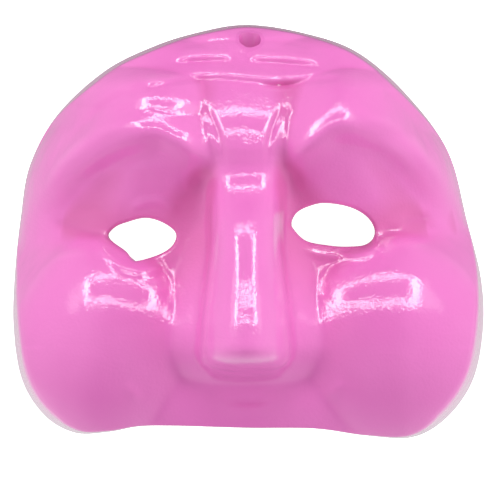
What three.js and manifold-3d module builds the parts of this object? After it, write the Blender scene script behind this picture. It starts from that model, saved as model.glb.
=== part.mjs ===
// Grotesque half mask of the popular theatre: one shell of pink glazed earthenware
// with two cut eye holes and one hanging hole, lying on its back rim with the face up.
// Millimetres. +X runs across the face, +Y to the forehead, +Z out of the face; the back rim is at Z = 0.
import * as THREE from 'three';
import Module from 'manifold-3d';
import { mergeVertices } from 'three/addons/utils/BufferGeometryUtils.js';

const wasm = await Module();
wasm.setup();

// Sizes across the face are laid out flat, in the plane of the back rim, as seen from this far in front
// of it; a point Z above the rim stands nearer the line through MIDDLE by the share Z / VIEW_DISTANCE.
const VIEW_DISTANCE = 520;

// The whole shell
const WALL = 4.8;                 // thickness of the clay
const BOWL_HEIGHT = 52;           // plain bowl under the features
const BOWL_FULLNESS = [2.7, 2.2]; // exponents of its profile
const BOWL_TOP_FULLNESS = 0.5;    // taken off the first one towards the forehead
const WALL_RISE = 88;             // how high the upright side wall would reach
const WALL_TURN = 14;             // exponent of its tight turn into the face
const LIP_ARCH_HEIGHT = 48;       // the cut lower edge rises this far off the ground in the middle
const LIP_ARCH_HALF_WIDTH = 63;
const MIDDLE = [0, -5];           // the outline is measured round this point

// Outline of the back rim, from the top middle clockwise
const OUTLINE = [
  [-0.7, 68.4], [18.2, 65.7], [36, 59.4], [52.5, 45.2], [66, 26.6], [72.3, 3.6], [76.9, -15.2],
  [77.6, -31.7], [74.4, -48.5], [66, -60.9], [54.5, -67.7], [39, -67.2], [22, -64.9], [0, -64.7],
  [-23.4, -64], [-36, -64.2], [-46, -66], [-57, -66.3], [-67, -60.7], [-74.6, -48.8], [-77.4, -31],
  [-76.9, -13], [-75, 5], [-72, 22], [-63, 38.6], [-47.5, 53], [-31.8, 61], [-17.2, 65.7],
];

// The bowl is higher where the brows stand on it, but not behind the nose
const BROW_FLOOR_RISE = 18;
const BROW_FLOOR_AT = 34;
const BETWEEN_BROWS = 15;         // half width of the gap between the two brows and sockets
const SOCKETS = [
  { at: [-38.5, 2], across: 30, along: 24, rise: -2.5, turn: 9, edge: 2 },
  { at: [39, 4], across: 30, along: 24, rise: -3.5, turn: -7, edge: 2 },
  { at: [-14, 20], across: 5, along: 8, rise: -5, turn: -20, edge: 1 },
  { at: [13, 19], across: 5, along: 8, rise: -5, turn: 20, edge: 1 },
];

// Lower edge of both brows, from one temple to the other, and the roll that runs along it
const BROW_EDGE = [
  [-69, 4], [-64, 12], [-54, 23], [-40, 30.7], [-29, 33.3], [-20, 28.6], [-12.5, 21.5], [-7, 19],
  [0, 19], [6, 19], [11, 21.5], [19, 28.6], [30, 34.8], [43, 31.5], [55, 22.5], [63, 12], [68, 4],
];
const BROW_RISE = 4.2;
const BROW_ABOVE = 9;             // half width of the roll towards the forehead
const BROW_BELOW = 4.5;           // and towards the eye
const BROW_END = 0.3;             // share of the line's length over which the roll fades out
const UNDERSIDE_SLOPE = 1.3;
const UNDERSIDE_ROUND = 2.2;

// Forehead: a low dome that bends down to the crown, with two shoulders and the thick brow ends on it
const FOREHEAD_TOP = 53.8;
const FOREHEAD_AT = 39.5;
const DOME_SLOPE = 0.68;
const DOME_ROUND = 1.2;           // how softly the slope begins
const DOME_HALF_WIDTH = 58;
const DOME_SIDE_DROP = 27;
const CROWN_AT = 58.5;
const CROWN_ROUND = 3.5;
const SHOULDERS = [
  { at: [-31, 53], across: 15, along: 13, rise: 3, turn: 0, edge: 1 },
  { at: [32, 52], across: 15, along: 13, rise: 3, turn: 0, edge: 1 },
];
// Each brow end is round on top and ends in straight slopes, [radius, slope]: towards the nose, towards
// the temple and along the face; its crest runs askew by `bow`
const KNOBS = [
  { at: [-30.2, 25.8], top: 64.9, inner: [11, 0.6], outer: [12, 0.9], along: [19, 1.5], bow: -0.1 },
  { at: [-29.2, 40.2], top: 60, inner: [12, 0.8], outer: [13, 0.8], along: [7.2, 1], bow: -0.05 },
  { at: [29.6, 31], top: 64.6, inner: [8.5, 0.8], outer: [7, 1.2], along: [15, 1.1], bow: 0.12 },
];
const KNOB_BOW_REACH = 6;
const KNOB_REACH = 24;            // half width of a knob towards the temple
const KNOB_FOOT = 6;              // how much it has fallen more than its slope there
const KNOB_END = 47;              // above this the knobs sink into the dome
const KNOB_END_ROUND = 4;

// The wedge between the brows and the two creases beside it
const WEDGE = { at: [-2, 30.5], top: 60.4, across: [17.8, 1.2], above: [14.5, 0.85], below: [10, 1.5] };
const CREASES = [
  { line: [[-13.8, 42.5], [-12.5, 39], [-10.8, 35], [-8.8, 29], [-8, 22], [-8, 15]], left: 1.4, right: 3.5 },
  { line: [[11.4, 42.5], [10, 39], [8.4, 35], [6.8, 29], [6.5, 22], [6.5, 15]], left: 3.5, right: 1.4 },
];
const CREASE_DEPTH = 1.8;
const LINE_FADE = 0.35;           // share of a line's length over which its groove fades out

// Forehead folds: each line is a groove with a soft roll above it
const FOLDS = [
  {
    line: [[-46, 45.5], [-28, 49], [-19, 50.1], [-8, 50.3], [4, 49.2], [16, 49.2], [24, 50.2], [36, 51]],
    depth: 1.5,
  },
  { line: [[-44, 54], [-30, 57], [-17, 58], [0, 57], [16, 56.6], [34, 54]], depth: 1.5 },
  { line: [[-36, 57.5], [-26, 60.2], [-14, 62.5], [0, 63], [14, 62.5], [28, 59]], depth: 0.45 },
];
const FOLD_ROLL_RISE = 0.8;       // as a share of the depth
const FOLD_ROLL_OFFSET = 2.6;
const FOLD_ROLL_WIDTH = 2.2;
const FOLD_GROOVE_WIDTH = 0.9;

// Cheeks: balls, with their reach towards the nose and towards the side
const CHEEKS = [
  { at: [-45, -36], inner: 34, outer: 34, along: 36 },
  { at: [46, -36], inner: 38, outer: 37, along: 36 },
];
const CHEEK_FOOT = 32;
const CHEEK_RISE = 30;

// Nose: a long round ridge standing on two flat wings; every row is [place along the face, size]
const NOSE_AXIS = -0.8;
const RIDGE_CREST = [
  [-52, 30], [-48, 60], [-46, 70], [-44, 78.5], [-42, 84], [-40, 86.3], [-38, 86.9], [-35, 86.55],
  [-33, 86.15], [-31, 85.6], [-29, 84.9], [-27, 84.1], [-25, 83.3], [-23, 82.6], [-20, 81.6],
  [-15, 79.9], [-10, 77.9], [-5, 75.6], [0, 73], [4, 70.6], [6, 69.1], [14.5, 62.8], [18, 61.1],
  [21.5, 60.1], [25, 59.6], [29, 57.5], [34, 44], [44, 0],
];
const RIDGE_HALF_WIDTH = [
  [-46, 12.5], [-40, 14.3], [-30, 13.8], [-15, 12.2], [0, 10.3], [12, 9.5], [34, 9.5],
];
const RIDGE_CREST_RADIUS = [[-46, 10], [-30, 9.8], [4, 9.8], [14, 18], [20, 26], [34, 26]];
const WING_HALF_WIDTH = [
  [-60, 26], [-50, 29], [-42, 31], [-33, 30.5], [-22, 27], [-7, 22], [6, 17.5], [20, 14],
];
const WING_HEIGHT = [[-45, 62], [-33, 63], [-22, 61], [-7, 57], [6, 54.5], [20, 48], [30, 36], [42, 0]];
const WING_END = -36;             // the nostril end begins to round here
const WING_END_REACH = 17;
const WING_RISE = 20;

// Upper lip
const LIP_HEIGHT = 54;
const LIP_AT = -53;
const LIP_TOP = -38;              // the nose and cheeks cover it above this
const LIP_FALL = 6;               // how much it falls off at this far from the middle
const LIP_HALF_WIDTH = 40;
const LIP_FALL_ALONG = 3;
const LIP_HALF_LENGTH = 12;

// Eye holes and the hanging hole
const EYES = [
  [[-46.2, -1.4], [-43.8, 1.6], [-40.2, 3.1], [-34, 4.6], [-28.2, 3.1], [-23.9, -0.3], [-24.8, -4.2],
    [-28.5, -7], [-34.5, -9.1], [-37.8, -9.4], [-40.2, -6.4], [-44, -3.7]],
  [[14.4, 3.1], [16.1, 6.3], [20, 8.4], [25.5, 9.5], [33.8, 8.1], [39.5, 4.7], [41.8, 0],
    [39.5, -3.9], [33, -4.8], [26.5, -4.4], [19.2, -2.9], [15.2, 0.8]],
];
// The hanging hole runs level, from the crown into the hollow
const HANGING_HOLE = { radius: 3.3, at: [0.6, 64.2], depth: 24 };

// How wide the crease between two forms is filled
const BLEND = { knobs: 0.5, forehead: 3, wedge: 1, lip: 2, cheeks: 2, wings: 1.5, ridge: 2.5, wall: 3 };

// How finely the clay surface is divided
const FACE_COLUMNS = 50;
const FACE_ROWS = 58;
const INSIDE_DIVISIONS = 32;
const INSIDE_SMOOTHING = 4;
const WALL_PROBES = [0, 0.5, 0.8, 0.95, 1];  // shares of the wall at which the face is felt from inside
const WALL_PROBE_WIDTH = 5.3;
const CUT_FROM = 10;              // the eye cuts run between these heights
const CUT_TO = 80;
const DRILL_SIDES = 20;
const STEPS_BETWEEN_POINTS = 8;

const square = (x) => x * x;
const clamp01 = (x) => Math.min(Math.max(x, 0), 1);
const ease = (x) => square(clamp01(x)) * (3 - 2 * clamp01(x));
const union = (a, b, blend) => 0.5 * (a + b + Math.hypot(a - b, blend));
const overlap = (a, b, blend) => -union(-a, -b, blend);

// Smooth curve of one size along the face
function sized(rows, x) {
  const last = rows.length - 1;
  const at = THREE.MathUtils.clamp(x, rows[0][0], rows[last][0]);
  let i = 0;
  while (i < last - 1 && at > rows[i + 1][0]) i += 1;
  const slope = (k) => (rows[k + 1][1] - rows[k][1]) / (rows[k + 1][0] - rows[k][0]);
  const tangent = (k) => {
    if (k === 0) return slope(0);
    if (k === last) return slope(last - 1);
    return 0.5 * (slope(k - 1) + slope(k));
  };
  const span = rows[i + 1][0] - rows[i][0];
  const t = (at - rows[i][0]) / span;
  return (1 + 2 * t) * square(1 - t) * rows[i][1] + t * square(1 - t) * span * tangent(i)
    + t * t * (3 - 2 * t) * rows[i + 1][1] + t * t * (t - 1) * span * tangent(i + 1);
}

// Points on a smooth line through the given ones
function smoothLine(points, closed) {
  const corners = points.map(([x, y]) => new THREE.Vector3(x, y, 0));
  const curve = new THREE.CatmullRomCurve3(corners, closed, 'catmullrom', 0.5);
  const spans = closed ? points.length : points.length - 1;
  const count = spans * STEPS_BETWEEN_POINTS;
  const samples = [];
  for (let i = 0; i < (closed ? count : count + 1); i += 1) {
    const p = curve.getPoint(i / count);
    samples.push([p.x, p.y]);
  }
  return samples;
}

// Distance from a line (positive on its left) and how far along the line the nearest point is, 0 to 1
function besideLine(samples, u, v) {
  let best = { distance: Infinity, side: 1, share: 0 };
  for (let i = 0; i + 1 < samples.length; i += 1) {
    const [ax, ay] = samples[i];
    const [bx, by] = [samples[i + 1][0] - ax, samples[i + 1][1] - ay];
    const t = clamp01(((u - ax) * bx + (v - ay) * by) / (bx * bx + by * by));
    const distance = Math.hypot(u - ax - t * bx, v - ay - t * by);
    if (distance < best.distance) {
      const side = bx * (v - ay) - by * (u - ax) < 0 ? -1 : 1;
      best = { distance, side, share: (i + t) / (samples.length - 1) };
    }
  }
  return best;
}

const outlineRing = smoothLine(OUTLINE, true).map(([u, v]) => ({
  angle: Math.atan2(v - MIDDLE[1], u - MIDDLE[0]),
  radius: Math.hypot(u - MIDDLE[0], v - MIDDLE[1]),
})).sort((a, b) => a.angle - b.angle);

// Radius of the outline in one direction from the middle
function outlineRadius(angle) {
  const ring = outlineRing;
  const turn = 2 * Math.PI;
  const a = angle > ring[ring.length - 1].angle ? angle - turn : angle;
  let i = ring.findIndex((point) => point.angle > a);
  if (i < 0) i = 0;
  const next = ring[i];
  const before = ring[(i + ring.length - 1) % ring.length];
  const start = i === 0 ? before.angle - turn : before.angle;
  return THREE.MathUtils.lerp(before.radius, next.radius, (a - start) / (next.angle - start));
}

// Height of the cut edge off the ground: nothing at the sides and top, an arch under the lip
function rimHeight(u, v) {
  const arch = clamp01(1 - Math.abs(u / LIP_ARCH_HALF_WIDTH) ** 2.6);
  return LIP_ARCH_HEIGHT * arch * ease((-v - 30) / 28);
}

// Round cap: 1 in the middle, falling like a ball, then on down as a steep straight skirt
function cap(share) {
  const turnOver = 0.9;
  const skirtTop = Math.sqrt(1 - turnOver);
  if (share < turnOver) return Math.sqrt(1 - Math.max(share, 0));
  return skirtTop - (share - turnOver) * 0.5 / skirtTop;
}

function swell({ at, across, along, rise, turn, edge }, u, v) {
  const a = THREE.MathUtils.degToRad(turn);
  const x = ((u - at[0]) * Math.cos(a) + (v - at[1]) * Math.sin(a)) / across;
  const y = ((v - at[1]) * Math.cos(a) - (u - at[0]) * Math.sin(a)) / along;
  return rise * Math.exp(-((x * x + y * y) ** edge));
}

const browLine = smoothLine(BROW_EDGE, false);
const foldLines = FOLDS.map((fold) => smoothLine(fold.line, false));
const creaseLines = CREASES.map((crease) => smoothLine(crease.line, false));

// 0 behind the nose, 1 under the brows
const besideNose = (u) => 1 - Math.exp(-square(u / BETWEEN_BROWS));
// Fades a groove out towards both ends of its line
const lineFade = (along) => ease(along / LINE_FADE) * ease((1 - along) / LINE_FADE);
// How far a round top has fallen at a distance, where it ends in a straight slope
const roundedSlope = (distance, [radius, slope]) => (
  radius * slope ** 2 * (Math.hypot(1, distance / (radius * slope)) - 1));

// A roll along the edge of the brows, broad towards the forehead and tight towards the eye
function browRoll(below, along) {
  const fade = ease(along / BROW_END) * ease((1 - along) / BROW_END);
  return BROW_RISE * fade * Math.exp(-square(below / (below < 0 ? BROW_ABOVE : BROW_BELOW)));
}

function knob({ at, top, inner, outer, along, bow }, u, v) {
  const aside = u - at[0];
  const outwards = aside * Math.sign(at[0]);
  const crest = at[1] + bow * THREE.MathUtils.clamp(aside, -KNOB_BOW_REACH, KNOB_BOW_REACH);
  return top - roundedSlope(aside, outwards > 0 ? outer : inner) - roundedSlope(v - crest, along)
    - KNOB_FOOT * (Math.max(outwards, 0) / KNOB_REACH) ** 4
    - square(Math.max(v - KNOB_END, 0)) / (2 * KNOB_END_ROUND);
}

// The forehead with the brow ends, cut off under the edge of the brows
function foreheadDome(u, v, below) {
  let z = FOREHEAD_TOP - DOME_SLOPE * (Math.hypot(v - FOREHEAD_AT, DOME_ROUND) - DOME_ROUND)
    - DOME_SIDE_DROP * (Math.abs(u) / DOME_HALF_WIDTH) ** 4
    - square(Math.max(v - CROWN_AT, 0)) / (2 * CROWN_ROUND);
  for (const shoulder of SHOULDERS) z += swell(shoulder, u, v);
  for (const sizes of KNOBS) z = union(z, knob(sizes, u, v), BLEND.knobs);
  return z - UNDERSIDE_SLOPE * 0.5 * (below + Math.hypot(below, UNDERSIDE_ROUND));
}

function wedgeBetweenBrows(u, v) {
  const { at, top, across, above, below } = WEDGE;
  return top - roundedSlope(u - at[0], across) - roundedSlope(v - at[1], v > at[1] ? above : below);
}

function fold(i, u, v) {
  const { distance, side, share } = besideLine(foldLines[i], u, v);
  const above = distance * side;
  const roll = FOLD_ROLL_RISE * Math.exp(-square((above - FOLD_ROLL_OFFSET) / FOLD_ROLL_WIDTH));
  return lineFade(share) * FOLDS[i].depth * (roll - Math.exp(-square(above / FOLD_GROOVE_WIDTH)));
}

// A valley beside a line, with its own half width on each side
function crease(i, u, v) {
  const { distance, side, share } = besideLine(creaseLines[i], u, v);
  const width = side > 0 ? CREASES[i].left : CREASES[i].right;
  return -CREASE_DEPTH * lineFade(share) * Math.exp(-square(distance / width));
}

function lip(u, v) {
  if (v >= LIP_TOP) return 0;
  return LIP_HEIGHT - LIP_FALL * square(u / LIP_HALF_WIDTH)
    - LIP_FALL_ALONG * square((v - LIP_AT) / LIP_HALF_LENGTH);
}

function cheek({ at, inner, outer, along }, u, v) {
  const across = Math.abs(u) < Math.abs(at[0]) ? inner : outer;
  return CHEEK_FOOT + CHEEK_RISE * cap(square((u - at[0]) / across) + square((v - at[1]) / along));
}

function noseRidge(u, v) {
  const width = sized(RIDGE_HALF_WIDTH, v);
  const rise = width * width / sized(RIDGE_CREST_RADIUS, v);
  return sized(RIDGE_CREST, v) - rise * (1 - cap(square((u - NOSE_AXIS) / width)));
}

function noseWings(u, v) {
  const across = Math.abs((u - NOSE_AXIS) / sized(WING_HALF_WIDTH, v)) ** 3;
  const end = (Math.max(WING_END - v, 0) / WING_END_REACH) ** 2.4;
  return sized(WING_HEIGHT, v) - WING_RISE * (1 - cap(across + end));
}

// Height of the face over the plane of the back rim
function faceHeight(u, v, withFolds) {
  const angle = Math.atan2(v - MIDDLE[1], u - MIDDLE[0]);
  const share = Math.min(Math.hypot(u - MIDDLE[0], v - MIDDLE[1]) / outlineRadius(angle), 1);
  const rim = rimHeight(u, v) * share * share;
  if (share >= 1) return rim;
  const towardsTop = square(Math.max(Math.sin(angle), 0));
  const fullness = BOWL_FULLNESS[0] - BOWL_TOP_FULLNESS * towardsTop;
  const bowl = BOWL_HEIGHT + BROW_FLOOR_RISE * besideNose(u) * ease(v / BROW_FLOOR_AT);
  let z = rim + (bowl - rim) * (1 - share ** fullness) ** (1 / BOWL_FULLNESS[1]);
  const brow = besideLine(browLine, u, v);
  const below = -brow.distance * brow.side;
  for (const socket of SOCKETS) z += swell(socket, u, v);
  z += browRoll(below, brow.share) * besideNose(u);
  z = union(z, foreheadDome(u, v, below), BLEND.forehead);
  z = union(z, wedgeBetweenBrows(u, v), BLEND.wedge);
  CREASES.forEach((_, i) => { z += crease(i, u, v); });
  if (withFolds) FOLDS.forEach((_, i) => { z += fold(i, u, v); });
  z = union(z, lip(u, v), BLEND.lip);
  for (const sizes of CHEEKS) z = union(z, cheek(sizes, u, v), BLEND.cheeks);
  z = union(z, noseWings(u, v), BLEND.wings);
  z = union(z, noseRidge(u, v), BLEND.ridge);
  z = overlap(z, rim + WALL_RISE * Math.sqrt(1 - share ** WALL_TURN), BLEND.wall);
  return Math.max(z, rim);
}

// Height of the inside: everywhere one wall thickness under the face, measured square to it
function insideHeight(u, v) {
  let z = Infinity;
  for (const reach of WALL_PROBES) {
    const directions = reach === 0 ? 1 : 12;
    for (let i = 0; i < directions; i += 1) {
      const angle = (i + 0.5 * reach) * 2 * Math.PI / directions;
      const du = reach * WALL_PROBE_WIDTH * Math.cos(angle);
      const dv = reach * WALL_PROBE_WIDTH * Math.sin(angle);
      z = Math.min(z, faceHeight(u + du, v + dv, false) - WALL * Math.sqrt(1 - reach * reach));
    }
  }
  return Math.max(z, rimHeight(u, v));
}

// Divisions from -1 to 1, closer together where the density is high
function divided(count, density) {
  const fine = 400;
  const sums = [0];
  for (let i = 0; i < fine; i += 1) sums.push(sums[i] + density(-1 + 2 * (i + 0.5) / fine));
  const places = [];
  for (let k = 0; k <= count; k += 1) {
    const wanted = sums[fine] * k / count;
    let i = 0;
    while (i < fine - 1 && sums[i + 1] < wanted) i += 1;
    places.push(-1 + 2 * (i + (wanted - sums[i]) / (sums[i + 1] - sums[i])) / fine);
  }
  return places;
}

function toSpace(u, v, z) {
  const scale = 1 - z / VIEW_DISTANCE;
  return [MIDDLE[0] + (u - MIDDLE[0]) * scale, MIDDLE[1] + (v - MIDDLE[1]) * scale, z];
}

// Presses the peaks of a net down to the mean of their neighbours, so the wall never gets thinner
function pressed(net, columns, rows, passes) {
  for (let pass = 0; pass < passes; pass += 1) {
    const heights = net.map(([, , z]) => z);
    for (let j = 1; j < rows; j += 1) {
      for (let i = 1; i < columns; i += 1) {
        const k = j * (columns + 1) + i;
        const around = [k - 1, k + 1, k - columns - 1, k + columns + 1];
        const mean = around.reduce((sum, n) => sum + heights[n], 0) / around.length;
        net[k][2] = Math.min(heights[k], mean);
      }
    }
  }
  return net;
}

// The rows lie closer together over the folds of the forehead and the tip of the nose
function rowDensity(b) {
  return 1 + 0.9 * Math.exp(-square((b - 0.78) / 0.14)) + 0.5 * Math.exp(-square((b + 0.6) / 0.12));
}

// Radius of the outline in one direction, drawn in square to it by `inset`
function insetRadius(angle, inset) {
  const step = 0.01;
  const radius = outlineRadius(angle);
  const lean = (outlineRadius(angle + step) - outlineRadius(angle - step)) / (2 * step * radius);
  return radius - inset * Math.hypot(1, lean);
}

// One sheet of the shell: a square net laid on the outline, drawn in by `inset`, raised by `height`
function sheet(columns, rows, inset, height) {
  const net = [];
  const xs = divided(columns, () => 1);
  const ys = divided(rows, rowDensity);
  for (const b of ys) {
    for (const a of xs) {
      const x = a * Math.sqrt(1 - b * b / 2);
      const y = b * Math.sqrt(1 - a * a / 2);
      const ring = Math.hypot(x, y);
      const share = ring + 0.75 * ring ** 3 * (1 - ring);
      const angle = Math.atan2(y, x);
      const radius = insetRadius(angle, inset);
      const u = MIDDLE[0] + share * radius * Math.cos(angle);
      const v = MIDDLE[1] + share * radius * Math.sin(angle);
      const onEdge = Math.abs(a) === 1 || Math.abs(b) === 1;
      net.push([u, v, onEdge ? rimHeight(u, v) : height(u, v)]);
    }
  }
  return net;
}

// Edge points of a sheet, once round anticlockwise from the lower left corner
function edgeOf(columns, rows) {
  const at = (i, j) => j * (columns + 1) + i;
  const ring = [];
  for (let i = 0; i < columns; i += 1) ring.push(at(i, 0));
  for (let j = 0; j < rows; j += 1) ring.push(at(columns, j));
  for (let i = columns; i > 0; i -= 1) ring.push(at(i, rows));
  for (let j = rows; j > 0; j -= 1) ring.push(at(0, j));
  return ring;
}

function netTriangles(columns, rows, start, up, points) {
  const triangles = [];
  const at = (i, j) => start + j * (columns + 1) + i;
  const apart = (p, q) => Math.hypot(...points[p].map((value, k) => value - points[q][k]));
  const add = (a, b, c) => triangles.push(up ? [a, b, c] : [a, c, b]);
  for (let j = 0; j < rows; j += 1) {
    for (let i = 0; i < columns; i += 1) {
      const [a, b, c, d] = [at(i, j), at(i + 1, j), at(i + 1, j + 1), at(i, j + 1)];
      if (apart(a, c) < apart(b, d)) {
        add(a, b, c);
        add(a, c, d);
      } else {
        add(a, b, d);
        add(b, c, d);
      }
    }
  }
  return triangles;
}

// Closed band between two rings that start in the same direction
function bandTriangles(outer, inner) {
  const triangles = [];
  let [i, j] = [0, 0];
  while (i < outer.length || j < inner.length) {
    const a = outer[i % outer.length];
    const b = inner[j % inner.length];
    if (j >= inner.length || (i < outer.length && (i + 1) / outer.length <= (j + 1) / inner.length)) {
      triangles.push([a, b, outer[(i + 1) % outer.length]]);
      i += 1;
    } else {
      triangles.push([a, b, inner[(j + 1) % inner.length]]);
      j += 1;
    }
  }
  return triangles;
}

function solidOf(points, triangles) {
  const geometry = new THREE.BufferGeometry();
  geometry.setAttribute('position', new THREE.Float32BufferAttribute(points.flat(), 3));
  geometry.setIndex(triangles.flat());
  const merged = mergeVertices(geometry, 1e-4);
  return new wasm.Manifold(new wasm.Mesh({
    numProp: 3,
    vertProperties: new Float32Array(merged.getAttribute('position').array),
    triVerts: new Uint32Array(merged.getIndex().array),
  }));
}

function shell() {
  const face = sheet(FACE_COLUMNS, FACE_ROWS, 0, (u, v) => faceHeight(u, v, true));
  const inside = pressed(sheet(INSIDE_DIVISIONS, INSIDE_DIVISIONS, WALL, insideHeight),
    INSIDE_DIVISIONS, INSIDE_DIVISIONS, INSIDE_SMOOTHING);
  const points = [...face, ...inside].map(([u, v, z]) => toSpace(u, v, z));
  const insideEdge = edgeOf(INSIDE_DIVISIONS, INSIDE_DIVISIONS).map((k) => k + face.length);
  return solidOf(points, [
    ...netTriangles(FACE_COLUMNS, FACE_ROWS, 0, true, points),
    ...netTriangles(INSIDE_DIVISIONS, INSIDE_DIVISIONS, face.length, false, points),
    ...bandTriangles(edgeOf(FACE_COLUMNS, FACE_ROWS), insideEdge),
  ]);
}

// Straight knife cut through the wall, following the lines of sight
function eyeCut(outline) {
  const ring = smoothLine(outline, true).filter((_, i) => i % 3 === 0).reverse();
  const middle = ring.reduce(([x, y], [u, v]) => [x + u / ring.length, y + v / ring.length], [0, 0]);
  const points = [];
  for (const z of [CUT_FROM, CUT_TO]) {
    for (const [u, v] of ring) points.push(toSpace(u, v, z));
  }
  const foot = points.push(toSpace(...middle, CUT_FROM)) - 1;
  const head = points.push(toSpace(...middle, CUT_TO)) - 1;
  const triangles = [];
  const n = ring.length;
  for (let i = 0; i < n; i += 1) {
    const k = (i + 1) % n;
    triangles.push([i, k, n + k], [i, n + k, n + i], [foot, k, i], [head, n + i, n + k]);
  }
  return solidOf(points, triangles);
}

function hangingHoleCut() {
  const { radius, at, depth } = HANGING_HOLE;
  const drill = new THREE.CylinderGeometry(radius, radius, depth, DRILL_SIDES);
  drill.deleteAttribute('normal');
  drill.deleteAttribute('uv');
  drill.translate(...toSpace(...at, faceHeight(...at, false)));
  const merged = mergeVertices(drill, 1e-4);
  return new wasm.Manifold(new wasm.Mesh({
    numProp: 3,
    vertProperties: new Float32Array(merged.getAttribute('position').array),
    triVerts: new Uint32Array(merged.getIndex().array),
  }));
}

let mask = shell();
for (const outline of EYES) mask = mask.subtract(eyeCut(outline));
mask = mask.subtract(hangingHoleCut());

const result = mask.getMesh();
const geometry = new THREE.BufferGeometry();
geometry.setAttribute('position', new THREE.BufferAttribute(new Float32Array(result.vertProperties), 3));
geometry.setIndex(new THREE.BufferAttribute(new Uint32Array(result.triVerts), 1));
geometry.computeBoundingBox();
const box = geometry.boundingBox;
geometry.translate(-(box.min.x + box.max.x) / 2, -(box.min.y + box.max.y) / 2, -box.min.z);
geometry.computeVertexNormals();

const glaze = new THREE.MeshStandardMaterial({ color: 0xf07fc4, roughness: 0.1, metalness: 0 });
const maskShell = new THREE.Mesh(geometry, glaze);
maskShell.name = 'mask_shell';

const group = new THREE.Group();
group.name = 'half_mask';
group.add(maskShell);

export default group;
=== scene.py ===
# %% [markdown]
# # A pink glazed half mask
# One fired piece: a half mask of the old popular theatre, with arched brows, deep sockets, a long
# ridged nose and two round cheeks, under a thick glossy pink glaze. It lies on its back rim and
# looks up at the camera. This lesson lays a fine sheet over the face, turns it over the rim, lines
# it with an inner sheet, pierces it, glazes it, and sets up the studio.

# %% Load the solid model
import math

import bpy
import numpy as np
from mathutils import Matrix, Vector


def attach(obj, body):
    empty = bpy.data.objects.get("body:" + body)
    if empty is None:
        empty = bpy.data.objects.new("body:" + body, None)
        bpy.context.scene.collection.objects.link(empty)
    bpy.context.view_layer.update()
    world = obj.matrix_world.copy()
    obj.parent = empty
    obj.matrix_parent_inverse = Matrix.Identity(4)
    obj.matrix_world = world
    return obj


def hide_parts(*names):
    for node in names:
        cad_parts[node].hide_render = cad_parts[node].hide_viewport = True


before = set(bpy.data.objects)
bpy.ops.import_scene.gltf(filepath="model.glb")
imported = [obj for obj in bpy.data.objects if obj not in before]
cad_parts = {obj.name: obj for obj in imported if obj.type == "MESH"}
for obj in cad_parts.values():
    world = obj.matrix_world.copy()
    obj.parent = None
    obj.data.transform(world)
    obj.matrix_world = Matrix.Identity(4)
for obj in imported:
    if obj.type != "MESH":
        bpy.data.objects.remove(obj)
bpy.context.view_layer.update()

# %% [markdown]
# ## How the face is described
# The clay was pressed or cast in a mould, so the front is one flowing surface. It could be pushed
# out of a ball with sculpting brushes, but a script has no hand to hold one. Here the surface is a
# height over the table for each place across the face, in millimetres, and every form is a small
# function: a swelling, a groove beside a line, a cap for a cheek. They are those of the solid
# model, with nearly all its sizes.

# %% Rounding and blending
square = np.square


def ease(x):
    """Goes softly from 0 to 1 as x goes from 0 to 1."""
    x = np.clip(x, 0, 1)
    return x * x * (3 - 2 * x)


def union(a, b, blend):
    """The higher of two surfaces, with the crease between them filled."""
    return 0.5 * (a + b + np.hypot(a - b, blend))


def overlap(a, b, blend):
    """The lower of two surfaces, with the edge between them rounded."""
    return -union(-a, -b, blend)


def cap(share):
    """A ball's top: 1 in the middle, falling round, then on down as a steep skirt."""
    turn_over = 0.9
    skirt_top = math.sqrt(1 - turn_over)
    skirt = skirt_top - (share - turn_over) * 0.5 / skirt_top
    return np.where(share < turn_over, np.sqrt(np.clip(1 - share, 0, 1)), skirt)


def swell(u, v, at, across, along, rise, turn=0.0, edge=1.0):
    """A soft swelling or hollow. A high edge gives it a flat middle and steeper sides."""
    a = math.radians(turn)
    x = ((u - at[0]) * math.cos(a) + (v - at[1]) * math.sin(a)) / across
    y = ((v - at[1]) * math.cos(a) - (u - at[0]) * math.sin(a)) / along
    return rise * np.exp(-((x * x + y * y) ** edge))


def sized(rows, x):
    """One size that changes smoothly along the face; rows are (place, size)."""
    places, sizes = np.array(rows, float).T
    slopes = np.diff(sizes) / np.diff(places)
    tangents = np.concatenate([slopes[:1], 0.5 * (slopes[1:] + slopes[:-1]), slopes[-1:]])
    x = np.clip(x, places[0], places[-1])
    i = np.clip(np.searchsorted(places, x, side="right") - 1, 0, len(places) - 2)
    span = places[i + 1] - places[i]
    t = (x - places[i]) / span
    return ((1 + 2 * t) * (1 - t) ** 2 * sizes[i] + t * (1 - t) ** 2 * span * tangents[i]
            + t * t * (3 - 2 * t) * sizes[i + 1] + t * t * (t - 1) * span * tangents[i + 1])


# %% Lines drawn on the face
STEPS_BETWEEN_POINTS = 8


def smooth_line(points, closed=False):
    """Points on a smooth line through the given ones."""
    p = np.array(points, float)
    if closed:
        p = np.concatenate([p[-1:], p, p[:2]])
    else:
        p = np.concatenate([[2 * p[0] - p[1]], p, [2 * p[-1] - p[-2]]])
    t = np.linspace(0, 1, STEPS_BETWEEN_POINTS, endpoint=False)[:, None]
    parts = [
        0.5 * (2 * b + (c - a) * t + (2 * a - 5 * b + 4 * c - d) * t**2
               + (3 * b - a - 3 * c + d) * t**3)
        for a, b, c, d in zip(p, p[1:], p[2:], p[3:])
    ]
    if not closed:
        parts.append(p[-2:-1])
    return np.concatenate(parts)


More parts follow.
